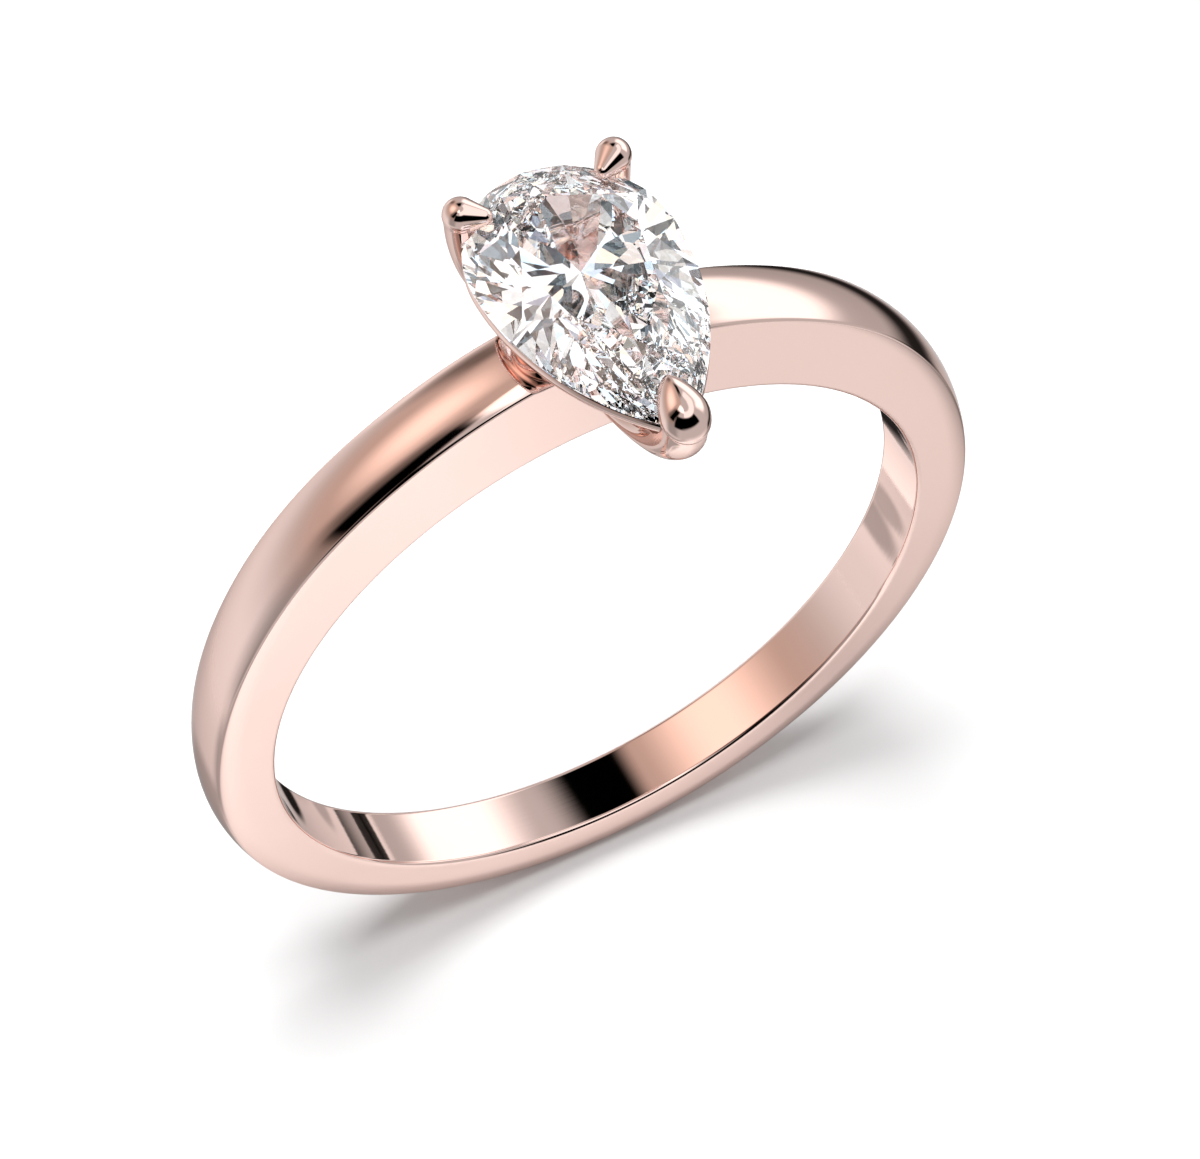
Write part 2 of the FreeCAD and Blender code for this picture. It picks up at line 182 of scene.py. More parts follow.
def slope(points, axis):
    """Direction of a closed grid of points along one of its axes, for uneven steps."""
    after = np.roll(points, -1, axis) - points
    before = points - np.roll(points, 1, axis)
    a = np.linalg.norm(after, axis=-1, keepdims=True)
    b = np.linalg.norm(before, axis=-1, keepdims=True)
    return (after / a * b + before / b * a) / (a + b)


def gradient(shape, p, step=0.002):
    """Slope of a distance function at each point."""
    g = np.zeros_like(p)
    for axis in range(3):
        d = np.zeros(3)
        d[axis] = step
        g[:, axis] = (shape(p + d) - shape(p - d)) / (2 * step)
    return g


def skin(rough, fine, low, high, pitch):
    """Points, faces and normals of the surface where a distance function is zero.

    rough is used to find the surface on a grid and fine to settle its points.
    """
    axes = [np.arange(lo - 2 * pitch, hi + 3 * pitch, pitch) for lo, hi in zip(low, high)]
    grid = np.stack(np.meshgrid(*axes, indexing="ij"), -1)
    f = rough(grid.reshape(-1, 3)).reshape(grid.shape[:3])
    cells = np.array(f.shape) - 1
    total, hits = np.zeros((*cells, 3)), np.zeros(cells)
    edges = []
    for axis in range(3):
        others = [o for o in range(3) if o != axis]
        first = tuple(slice(0, -1) if o == axis else slice(1, -1) for o in range(3))
        second = tuple(slice(1, None) if o == axis else slice(1, -1) for o in range(3))
        f0, f1 = f[first], f[second]
        i = np.argwhere((f0 < 0) != (f1 < 0))
        i[:, others] += 1
        a = f[tuple(i.T)]
        j = i.copy()
        j[:, axis] += 1
        t = a / (a - f[tuple(j.T)])
        at = grid[tuple(i.T)] + (t * pitch)[:, None] * np.eye(3)[axis]
        around = []
        for du, dv in ((0, 0), (1, 0), (1, 1), (0, 1)):
            c = i.copy()
            c[:, others[0]] -= du
            c[:, others[1]] -= dv
            around.append(c)
            np.add.at(total, tuple(c.T), at)
            np.add.at(hits, tuple(c.T), 1)
        edges.append((around, (a < 0) != (axis == 1)))
    number = np.full(cells, -1)
    used = hits > 0
    number[used] = np.arange(used.sum())
    points = total[used] / hits[used][:, None]
    faces = []
    for around, outward in edges:
        quad = np.stack([number[tuple(c.T)] for c in around], 1)
        faces.append(np.where(outward[:, None], quad, quad[:, ::-1]))
    for _ in range(SETTLE_ROUNDS):
        g = gradient(fine, points)
        move = -fine(points)[:, None] * g / np.maximum((g * g).sum(1), LEAST_SLOPE)[:, None]
        reach = np.linalg.norm(move, axis=1, keepdims=True)
        points = points + move * np.minimum(1, pitch / np.maximum(reach, 1e-9))
    g = gradient(fine, points)
    normals = g / np.linalg.norm(g, axis=1, keepdims=True)
    return np.clip(points, low, high), np.concatenate(faces), normals


# ---------------------------------------------------------------------------
# Distance functions, in mm, negative inside
# ---------------------------------------------------------------------------
def nearest_on(path, p):
    """Each point's distance and place on a polyline, as index and fraction."""
    corner = ((path * path).sum(1) - 2 * p @ path.T).argmin(1)
    best = np.full(len(p), 1e9)
    index, part = np.zeros(len(p), int), np.zeros(len(p))
    for i in (np.maximum(corner - 1, 0), np.minimum(corner, len(path) - 2)):
        start, run = path[i], path[i + 1] - path[i]
        t = np.clip(((p - start) * run).sum(1) / (run * run).sum(1), 0, 1)
        d = ((p - start - t[:, None] * run) ** 2).sum(1)
        closer = d < best
        best[closer], index[closer], part[closer] = d[closer], i[closer], t[closer]
    return np.sqrt(best), index, part


def read(values, index, part):
    """Values at places on a polyline, as index and fraction."""
    return values[index] * (1 - part) + values[index + 1] * part


def wire(stations, count):
    """Round wire along a path whose radius is the stations' last value."""
    s = along(stations, count)

    def shape(p):
        d, i, t = nearest_on(s[:, :3], p)
        return d - read(s[:, 3], i, t)
    return shape


def round_cone(a, ra, b, rb):
    """Hull of two balls."""
    a, b = np.array(a, float), np.array(b, float)
    run = b - a
    length = math.sqrt(run @ run)
    run = run / length
    lean = (ra - rb) / length
    spread = math.sqrt(1 - lean * lean)

    def shape(p):
        h = (p - a) @ run
        off = np.sqrt(np.maximum(((p - a) ** 2).sum(1) - h * h, 0))
        t = np.clip((h - off * lean / spread) / length, 0, 1)
        return np.hypot(off, h - t * length) - (ra + t * (rb - ra))
    return shape


def flat_wire(stations, count):
    """Oval bar on a path in the plane x = 0, from stations of y, z, half-width and
    half-thickness."""
    s = along([(0, *row) for row in stations], count)
    path = s[:, 1:3]

    def shape(p):
        d, i, t = nearest_on(path, p[:, 1:3])
        u, v = p[:, 0] / read(s[:, 3], i, t), d / read(s[:, 4], i, t)
        g = np.hypot(u, v)
        steep = np.hypot(u / read(s[:, 3], i, t), v / read(s[:, 4], i, t)) / np.maximum(g, 1e-6)
        return (g - 1) / np.maximum(steep, 0.5)
    return shape


def oval(half_x, half_y):
    """Upright oval cylinder that a second argument makes larger all round."""
    def shape(p, extra=0.0):
        a, b = half_x + extra, half_y + extra
        g = np.hypot(p[:, 0] / a, p[:, 1] / b)
        steep = np.hypot(p[:, 0] / a ** 2, p[:, 1] / b ** 2) / np.maximum(g, 1e-6)
        return (g - 1) / np.maximum(steep, 0.3)
    return shape


def limits(node):
    """Corners of a CAD node's box, in mm."""
    low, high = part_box(node)
    return np.array(low) / MM, np.array(high) / MM


def facets_of(node):
    """Point and outward normal of every flat of a CAD node, in mm."""
    seen = {}
    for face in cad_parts[node].data.polygons:
        n, c = face.normal, face.center / MM
        if face.area > 0:
            seen[tuple(round(v, 4) for v in (*n, n.dot(c)))] = (tuple(c), tuple(n))
    return np.array([c for c, _ in seen.values()]), np.array([n for _, n in seen.values()])


STONE_POINTS, STONE_NORMALS = facets_of("diamond")
STONE_DEPTHS = (STONE_POINTS * STONE_NORMALS).sum(1)


def stone(p):
    """Distance to the stone, the largest of those to its flats, taken in parts to save memory."""
    parts = np.array_split(p, len(p) // STONE_BATCH + 1)
    return np.concatenate([(q @ STONE_NORMALS.T - STONE_DEPTHS).max(1) for q in parts])


def beside_stone(shape):
    """The shape with the stone and a thin gap cut from it."""
    return lambda p: blend_max(shape(p), STONE_GAP - stone(p), STONE_EDGE_BLEND)


# ---------------------------------------------------------------------------
# Band
# ---------------------------------------------------------------------------
side_radius = spline(*zip(*TAPER), clamped=True)


def seat_height(rho):
    """Height of the seat's dished surface at a distance from its axis."""
    dimple = np.clip((RELIEF_TOP_R - rho) / (RELIEF_TOP_R - RELIEF_FLOOR_R), 0, 1)
    reach = SEAT_R - SEAT_FILLET
    t = np.clip(rho - reach, 0, WALL_FROM * SEAT_FILLET)
    rise = SEAT_FILLET - np.sqrt(SEAT_FILLET ** 2 - t * t)
    wall = np.maximum(rho - reach - WALL_FROM * SEAT_FILLET, 0) * WALL_SLOPE
    return SEAT_Z - RELIEF_DEPTH * dimple + rise + wall


def outer_radius(angle, y):
    """Radius of the band's outer face at an angle from the head, in radians."""
    dome_r = (BAND_HALF_W ** 2 + DOME_RISE ** 2) / (2 * DOME_RISE)
    side = side_radius(np.abs(np.degrees(angle)))
    dome = side + DOME_RISE - dome_r + np.sqrt(dome_r ** 2 - y * y)
    near = np.abs(angle) < math.radians(SEAT_SPAN)
    c, s = np.where(near, np.cos(angle), 1), np.where(near, np.sin(angle), 0)
    seat = SEAT_Z / c
    for _ in range(SEAT_ROUNDS):
        seat = 0.5 * seat + 0.5 * seat_height(np.hypot(seat * s, y)) / c
    return np.where(near, blend_min(dome, seat, LIP_BLEND), dome)


def side_y(r, flat):
    """Half the band's width at a radius; beyond the flat part the side face curves in."""
    t = np.clip(r - flat, 0, SIDE_ROLL_R)
    return BAND_HALF_W - SIDE_ROLL_R + np.sqrt(SIDE_ROLL_R ** 2 - t * t)


def make_shank(material):
    """The band as a closed grid: rows across its section and columns round the finger."""
    fine = np.radians(np.arange(-HEAD_SPAN, HEAD_SPAN, HEAD_STEP))
    coarse = np.radians(np.linspace(HEAD_SPAN, 360.0 - HEAD_SPAN, REST_COUNT, endpoint=False))
    angle = np.concatenate([fine, coarse])
    head = (angle + math.pi) % (2 * math.pi) - math.pi
    turned = np.abs(np.degrees(head))
    t = np.clip((turned - SIDE_ROLL_FROM) / (SIDE_ROLL_TO - SIDE_ROLL_FROM), 0, 1)
    roll = SIDE_ROLL_TOP + (SIDE_ROLL_LOW - SIDE_ROLL_TOP) * t * t * (3 - 2 * t)
    flat = side_radius(turned) - roll
    corner_y = np.full_like(head, BAND_HALF_W)
    for _ in range(CORNER_ROUNDS):
        corner = outer_radius(head, corner_y)
        corner_y = side_y(corner, flat)
    across, low = corner_y - CREASE_R, corner - CREASE_R
    rows = [(outer_radius(head, across * s), across * s) for s in np.linspace(0, 1, DOME_ROWS)]
    edge = rows[-1][0]
    for t in np.linspace(0, 1, CREASE_ROWS)[1:]:
        r = (1 - t) ** 2 * edge + 2 * t * (1 - t) * corner + t * t * low
        y = (1 - t) ** 2 * across + 2 * t * (1 - t) * corner_y + t * t * side_y(low, flat)
        rows.append((r, y))
    flare = BORE_R + BORE_EDGE_R
    start = np.minimum(low - ROLL_LEAST, flat)
    for t in np.linspace(0, 1, ROLL_ROWS)[1:]:
        rows.append((low + (start - low) * t, side_y(low + (start - low) * t, flat)))
    for t in SIDE_ROWS:
        rows.append((start + (flare - start) * t, np.full_like(head, BAND_HALF_W)))
    section = [(flare - BORE_EDGE_R * math.sin(t), BAND_HALF_W - BORE_EDGE_R * (1 - math.cos(t)))
               for t in np.linspace(0, math.pi / 2, EDGE_ROWS)]
    section += [(BORE_R, y * (BAND_HALF_W - BORE_EDGE_R)) for y in BORE_ROWS]
    rows += [(np.full_like(head, r), np.full_like(head, y)) for r, y in section]
    half = np.array(rows)
    back = half[1:-1][::-1] * np.array([1, -1])[None, :, None]
    loop = np.concatenate([half, back])
    r, y = loop[:, 0], loop[:, 1]
    points = np.stack([r * np.sin(head), y, r * np.cos(head)], -1)
    normals = np.cross(slope(points, 0), slope(points, 1))
    normals /= np.linalg.norm(normals, axis=-1, keepdims=True)
    points = np.clip(points, *limits("shank"))
    rows, columns = points.shape[:2]
    i, j = np.meshgrid(np.arange(rows), np.arange(columns), indexing="ij")
    up, right = (i + 1) % rows, (j + 1) % columns
    faces = np.stack([i * columns + j, up * columns + j,
                      up * columns + right, i * columns + right], -1)
    return mesh_object("Band", points.reshape(-1, 3), faces.reshape(-1, 4),
                       normals.reshape(-1, 3), material)


# ---------------------------------------------------------------------------
# Head
# ---------------------------------------------------------------------------
def make_collet(material):
    outer, mouth = oval(COLLET_HALF_X, COLLET_HALF_Y), oval(COLLET_THROAT_X, COLLET_THROAT_Y)
    widen = (COLLET_MOUTH_X - COLLET_THROAT_X) / COLLET_HEIGHT

    def shape(p):
        z = p[:, 2] - SEAT_Z
        body = blend_max(outer(p), np.maximum(z - COLLET_HEIGHT, -z), COLLET_BLEND)
        return blend_max(body, -mouth(p, extra=widen * z), COLLET_BLEND)
    return mesh_object("Collet", *skin(shape, shape, *limits("base_collet"), PITCH), material)


def rail_path():
    """Centre of the rail's wire, from the round end's middle to the point on the right."""
    wing_r = ((STONE_TIP_Y - STONE_WIDE_Y) ** 2 + STONE_HALF_W ** 2) / (2 * STONE_HALF_W)
    tip = math.asin((STONE_WIDE_Y - STONE_TIP_Y) / wing_r)
    t = np.linspace(math.pi / 2, 0, RAIL_POINTS)
    x, y = STONE_HALF_W * np.cos(t), STONE_WIDE_Y + STONE_END_LEN * np.sin(t)
    nx, ny = np.cos(t) / STONE_HALF_W, np.sin(t) / STONE_END_LEN
    size = np.hypot(nx, ny)
    end = np.stack([x - RAIL_WIRE_R * nx / size, y - RAIL_WIRE_R * ny / size], 1)
    t = np.linspace(0, tip, RAIL_POINTS)[1:]
    reach = wing_r - RAIL_WIRE_R
    wing = np.stack([STONE_HALF_W - wing_r + reach * np.cos(t),
                     STONE_WIDE_Y - reach * np.sin(t)], 1)
    half = np.concatenate([end, wing])
    return half[half[:, 0] > -0.01]


def make_rail(material):
    half = rail_path()

    def wire_shape(line):
        def shape(p):
            d, _, _ = nearest_on(line, np.stack([np.abs(p[:, 0]), p[:, 1]], 1))
            return np.hypot(d, p[:, 2] - RAIL_Z) - RAIL_WIRE_R
        return shape
    rough, fine = beside_stone(wire_shape(half[::RAIL_SKIP])), beside_stone(wire_shape(half))
    return mesh_object("Gallery_rail", *skin(rough, fine, *limits("gallery_rail"), PITCH), material)


def make_claws(material):
    cap = round_cone(CLAW_STATIONS[-1][:3], CLAW_CAP_R, CLAW_TIP, CLAW_TIP_R)

    def claw(count):
        post = wire(CLAW_STATIONS, count)
        return beside_stone(lambda p: blend_min(post(p), cap(p), CLAW_BLEND))
    points, faces, normals = skin(claw(ROUGH_COUNT), claw(FINE_COUNT), *limits("claw_right"),
                                  CLAW_PITCH)
    flip = np.array([-1, 1, 1])
    return (mesh_object("Claw_right", points, faces, normals, material),
            mesh_object("Claw_left", points * flip, faces[:, ::-1], normals * flip, material))


def cushion(p):
    """The V-claw's cap: round outside, pointed towards the stone's middle, full all over."""
    x, y = np.abs(p[:, 0]), p[:, 1] - V_CAP_Y
    z = p[:, 2] - V_CAP_Z - V_CAP_LEAN * y
    e = V_CAP_POINT
    pointed = ((x / V_CAP_HALF_W) ** e + (np.maximum(y, 0) / V_CAP_IN) ** e) ** (1 / e)
    plan = np.where(y > 0, pointed, np.hypot(x / V_CAP_HALF_W, y / V_CAP_OUT))
    level = np.abs(z) / np.where(z > 0, V_CAP_RISE, V_CAP_DROP)
    e = V_CAP_FULL
    return ((plan ** e + level ** e) ** (1 / e) - 1) * V_CAP_DROP


def make_v_claw(material):
    def claw(count):
        strut = flat_wire(V_STATIONS, count)
        return beside_stone(lambda p: blend_min(strut(p), cushion(p), V_CLAW_BLEND))
    surface = skin(claw(ROUGH_COUNT), claw(FINE_COUNT), *limits("v_claw"), CLAW_PITCH)
    return mesh_object("V_claw", *surface, material)


# ---------------------------------------------------------------------------
# Finishes
# ---------------------------------------------------------------------------
WHITE = (1, 1, 1, 1)
GOLD, GOLD_CLOUDED = (0.955, 0.715, 0.645, 1), (0.965, 0.73, 0.665, 1)
GOLD_EDGE = (0.62, 0.58, 0.57, 1)       # the gold's tint where it is seen edge on
GOLD_CLOUDS = 420.0                     # per metre
LAP_LINES, LAP_LENGTHS = 9000.0, 120.0  # lapping lines per metre, across and along
LAP_DEPTH = 0.002                       # mm
CLOUD_SHARE, LAP_SHARE = 0.6, 0.4       # of clouds and lapping lines in the roughness
NOISE_RANGE = (0.3, 0.7)                # what the noise mostly keeps within
ROUGH_LEAST, ROUGH_MOST = 0.8, 1.25     # times the mean roughness
BAND_ROUGHNESS, BAND_LINES = 0.045, 0.25
HEAD_ROUGHNESS, HEAD_LINES = 0.040, 0.15
GEM_INDEX, GEM_ROUGHNESS = 2.42, 0.004
GEM_CLOUDS, GEM_NOISE_RANGE = 900.0, (0.35, 0.65)

# The floor.  The metal mirrors its near part only, a plate painted with the light and shade that the
# metal's reflections show: its front and back have painted tones of their own and its back has a gap.
# A ramp gives two places and the value at each.
FLOOR_HALF = 1500.0                     # mm
FLOOR_WHITE = (0.86, 0.86, 0.86, 1)
FLOOR_GLOW = (30 * MM, 80 * MM)         # from where to where paint gives way to glow
NEAR_FLOOR_LIFT = 0.001                 # mm
NEAR_FLOOR_EDGE = (0.7 * NEAR_FLOOR * MM, NEAR_FLOOR * MM)
# Painted shade: tones of the near plate's front and back, and the fades to darker at the front's ends
FRONT_PAINTED_TONE, BACK_PAINTED_TONE = (0.0, 10 * MM, 0.83, 0.62), (-9 * MM, -1 * MM, 0.53, 0.62)
FRONT_LEFT_PAINTED_FADE, FRONT_RIGHT_PAINTED_FADE = (-16 * MM, -10 * MM, 0.35, 1.0), (14 * MM, 22 * MM, 1.0, 0.3)
FRONT_TO_BACK = (0.8 * MM, 3.2 * MM)
GAP_X, GAP_FRONT = 5.5 * MM, (2 * MM, 3 * MM, 0.0, 1.0)
GAP_SIDES = (2.0 * MM, 2.4 * MM, 1.0, 0.0)
# Painted dark spots on the near floor behind the ring, which the metal mirrors as dark reflections: x,
# y and size in mm, and the share of light left
PAINTED_DARK_SPOTS = ((-3.3, 4.9, 0.9, 0.02), (-1.6, 7.2, 1.9, 0.5), (0.9, 6.1, 1.1, 0.6),
              (-12.5, 4.0, 4.4, 0.65), (10.0, 8.6, 3.4, 0.03), (14.0, 11.0, 3.6, 0.03))
SPOT_CORE, SPOT_REACH = 0.6, 1.2        # share of a spot's size where it is dark, and where it ends


# ---------------------------------------------------------------------------
# Node trees
# ---------------------------------------------------------------------------
class Tree:
    """Short calls for building a node tree."""

    def __init__(self, owner):
        owner.use_nodes = True
        self.nodes, self.links = owner.node_tree.nodes, owner.node_tree.links
        self.nodes.clear()

    def add(self, kind, inputs=(), **settings):
        node = self.nodes.new(kind)
        for key, value in settings.items():
            setattr(node, key, value)
        for key, value in dict(inputs).items():
            self.put(node.inputs[key], value)
        return node

    def put(self, socket, value):
        if isinstance(value, bpy.types.NodeSocket):
            self.links.new(value, socket)
        else:
            socket.default_value = value

    def math(self, operation, *values):
        """Result of a math node."""
        node = self.nodes.new("ShaderNodeMath")
        node.operation = operation
        for socket, value in zip(node.inputs, values):
            self.put(socket, value)
        return node.outputs[0]

    def ramp(self, value, low, high, to_low=0.0, to_high=1.0, kind="LINEAR"):
        """Value carried from one range to another and held at its ends."""
        node = self.add("ShaderNodeMapRange", interpolation_type=kind)
        for key, v in zip(("Value", "From Min", "From Max", "To Min", "To Max"),
                          (value, low, high, to_low, to_high)):
            self.put(node.inputs[key], v)
        return node.outputs[0]

    def fade(self, *values):
        """A ramp that starts and ends gently."""
        return self.ramp(*values, kind="SMOOTHSTEP")

    def colour(self, red, green, blue):
        return self.add("ShaderNodeCombineColor", {"Red": red, "Green": green,
                                                   "Blue": blue}).outputs[0]

    def mix_colours(self, factor, first, second):
        """Colour between two; a mix node's colour sockets are 6, 7 and output 2."""
        return self.add("ShaderNodeMix", {0: factor, 6: first, 7: second},
                        data_type="RGBA").outputs[2]

    def surface(self, kind, inputs):
        """Send a shader to the material's output."""
        self.add("ShaderNodeOutputMaterial", {"Surface": self.add(kind, inputs).outputs[0]})


def gold_material(name, roughness, lines):
    """Polished rose gold with faint lapping lines that run round the finger axis."""
    material = bpy.data.materials.new(name)
    tree = Tree(material)
    place = tree.add("ShaderNodeTexCoord").outputs["Object"]
    x, y, z = tree.add("ShaderNodeSeparateXYZ", {"Vector": place}).outputs
    radius = tree.math("SQRT", tree.math("ADD", tree.math("MULTIPLY", x, x),
                                         tree.math("MULTIPLY", z, z)))
    ring = tree.add("ShaderNodeCombineXYZ", {"X": tree.math("MULTIPLY", radius, LAP_LINES),
                                             "Y": tree.math("MULTIPLY", y, LAP_LINES),
                                             "Z": tree.math("MULTIPLY", x, LAP_LENGTHS)})
    lap = tree.add("ShaderNodeTexNoise", {"Vector": ring.outputs[0], "Scale": 1.0,
                                          "Detail": 3.0}).outputs["Fac"]
    cloud = tree.add("ShaderNodeTexNoise", {"Vector": place, "Scale": GOLD_CLOUDS,
                                            "Detail": 2.0}).outputs["Fac"]
    both = tree.math("ADD", tree.math("MULTIPLY", cloud, CLOUD_SHARE),
                     tree.math("MULTIPLY", lap, LAP_SHARE))
    bump = tree.add("ShaderNodeBump", {"Height": lap, "Strength": lines,
                                       "Distance": LAP_DEPTH * MM})
    tree.surface("ShaderNodeBsdfPrincipled", {
        "Base Color": tree.mix_colours(tree.ramp(cloud, *NOISE_RANGE), GOLD, GOLD_CLOUDED),
        "Metallic": 1.0,
        "Specular Tint": GOLD_EDGE,
        "Roughness": tree.ramp(both, *NOISE_RANGE, roughness * ROUGH_LEAST, roughness * ROUGH_MOST),
        "Normal": bump.outputs[0]})
    return material


def diamond_material():
    """Clear stone whose polish changes very slightly from place to place."""
    material = bpy.data.materials.new("Diamond")
    tree = Tree(material)
    place = tree.add("ShaderNodeTexCoord").outputs["Object"]
    cloud = tree.add("ShaderNodeTexNoise", {"Vector": place, "Scale": GEM_CLOUDS,
                                            "Detail": 2.0}).outputs["Fac"]
    tree.surface("ShaderNodeBsdfPrincipled", {
        "Base Color": WHITE,
        "Roughness": tree.ramp(cloud, *GEM_NOISE_RANGE, 0.0, GEM_ROUGHNESS),
        "IOR": GEM_INDEX,
        "Transmission Weight": 1.0})
    return material


def floor_material():
    """White paint near the ring; further out it glows, past the reach of the lamp's light."""
    material = bpy.data.materials.new("Floor")
    tree = Tree(material)
    place = tree.add("ShaderNodeTexCoord").outputs["Object"]
    far = tree.add("ShaderNodeVectorMath", {0: place}, operation="LENGTH").outputs["Value"]
    paint = tree.add("ShaderNodeBsdfDiffuse", {"Color": FLOOR_WHITE})
    glow = tree.add("ShaderNodeEmission", {"Color": WHITE, "Strength": BACKDROP})
    tree.surface("ShaderNodeMixShader", {0: tree.fade(far, *FLOOR_GLOW),
                                         1: paint.outputs[0], 2: glow.outputs[0]})
    return material


def painted_reflection_floor_material():
    """Painted light and shade of the near floor as the metal mirrors it, clear far away and in the gap.
    """
    material = bpy.data.materials.new("Floor_near_painted_reflections")
    tree = Tree(material)
    place = tree.add("ShaderNodeTexCoord").outputs["Object"]
    far = tree.add("ShaderNodeVectorMath", {0: place}, operation="LENGTH").outputs["Value"]
    x, y, _ = tree.add("ShaderNodeSeparateXYZ", {"Vector": place}).outputs
    # Painted shade: the front darkens towards the right and at its ends, and the back is darker, with
    # painted dark spots
    ends = tree.math("MULTIPLY", tree.fade(x, *FRONT_LEFT_PAINTED_FADE), tree.fade(x, *FRONT_RIGHT_PAINTED_FADE))
    front = tree.math("MULTIPLY", tree.fade(x, *FRONT_PAINTED_TONE), ends)
    back = tree.fade(x, *BACK_PAINTED_TONE)
    for spot_x, spot_y, size, left in PAINTED_DARK_SPOTS:
        centre = (spot_x * MM, spot_y * MM, cad_box[0].z)
        off = tree.add("ShaderNodeVectorMath", {0: place, 1: centre}, operation="DISTANCE")
        back = tree.math("MULTIPLY", back, tree.fade(off.outputs["Value"], SPOT_CORE * size * MM,
                                                     SPOT_REACH * size * MM, left, 1.0))
    painted_tone = tree.math("MULTIPLY_ADD", tree.math("SUBTRACT", back, front),
                     tree.fade(y, *FRONT_TO_BACK), front)
    off = tree.math("ABSOLUTE", tree.math("SUBTRACT", x, GAP_X))
    gap = tree.math("MULTIPLY", tree.ramp(y, *GAP_FRONT), tree.ramp(off, *GAP_SIDES))
    paint = tree.add("ShaderNodeBsdfDiffuse", {"Color": tree.colour(painted_tone, painted_tone, painted_tone)})
    clear = tree.add("ShaderNodeBsdfTransparent")
    see_through = tree.math("MAXIMUM", gap, tree.fade(far, *NEAR_FLOOR_EDGE))
    tree.surface("ShaderNodeMixShader", {0: see_through, 1: paint.outputs[0], 2: clear.outputs[0]})
    return material


# ---------------------------------------------------------------------------
# Studio
# ---------------------------------------------------------------------------
# Panels of the studio, as directions from the ring in degrees.  Azimuth 0 looks
# along -Y and 90 along +X.  Each panel: azimuth, elevation, half-width,
# half-height, lean in azimuth per degree of elevation, softness, brightness.
PANELS = (
    (-120, -28, 70, 26, 0.0, 16, 0.88),
    (-70, 0, 21, 34, 0.0, 13, 0.34),
    (-174, 22, 9, 12, 0.0, 8, 0.18),
    (45, 58, 75, 11, 0.0, 4, 1.15),
    (-45, 72, 20, 9, 0.0, 4, 1.6),
    (-80, 42, 12, 21, 0.32, 9, 0.14),
    (-70, 42, 10, 20, 0.32, 4, 0.0),
    (-10, 26, 52, 19, 0.0, 4, 0.0),
    (110, 22, 34, 17, 0.0, 8, 1.5),
    (110, -8, 38, 9, 0.0, 9, 0.5),
    (108, -27, 42, 8, 0.0, 6, 0.02),
    (-175, -22, 9, 26, 0.0, 4, 1.0),
    (-156, -57, 24, 8, 0.0, 4, 1.4),
    (160, 62, 22, 14, 0.0, 8, 0.0),
    (18, -52, 38, 20, 0.0, 16, 1.15),
)
# Glows: azimuth, elevation, half-width, half-height and brightness at the middle
GLOWS = ((-129, 50, 46, 30, 1.35),)
GLOW_FADE = (0.1, 1.0, 1.0, 0.0)
STUDIO_BASE = 0.56            # brightness between the panels
BACKDROP = 1.05               # brightness of what the camera sees past the ring
FLOOR_LIGHT = 0.42            # brightness of what lights the floor, besides the lamp
OFF_FLOOR = 0.3               # share of the panels' light in what the floor sends on
BEHIND_STONE = 0.27           # share of the panels' light in metal seen through the stone
WARM = (1.0, 0.80, 0.70, 1)   # tint of the light from one side
WARM_AZIMUTH, WARM_WIDTH, WARM_RISE = -125.0, (50, 80, 1.0, 0.0), (-5, 25)

# Cells of light that the stone refracts: their spread of brightness, and of each colour
GEM_SEED, GEM_CELLS = 3.0, 2.6
GEM_LIGHT = (0.12, 0.47, 0.05, 1.50)
GEM_RED, GEM_GREEN, GEM_BLUE = (0.77, 1.15), (0.90, 1.05), (1.22, 0.82)
LIGHT_MAP = 1024              # pixels of the map by which the studio's light is sampled

LAMP_PLACE, LAMP_SIZE, LAMP_WATTS = (-2, 10, 90), 62, 0.126       # place and size in mm

CAMERA_PLACE = (-17.1006, -34.4761, 59.4040)                      # mm
CAMERA_RIGHT, CAMERA_DOWN = (0.88982, -0.45630, -0.00477), (-0.38255, -0.74023, -0.55292)
SENSOR_WIDTH, FOCAL_LENGTH = 36.0, 91.81                          # mm
CLIP_RANGE = (0.001, 10.0)                                        # m


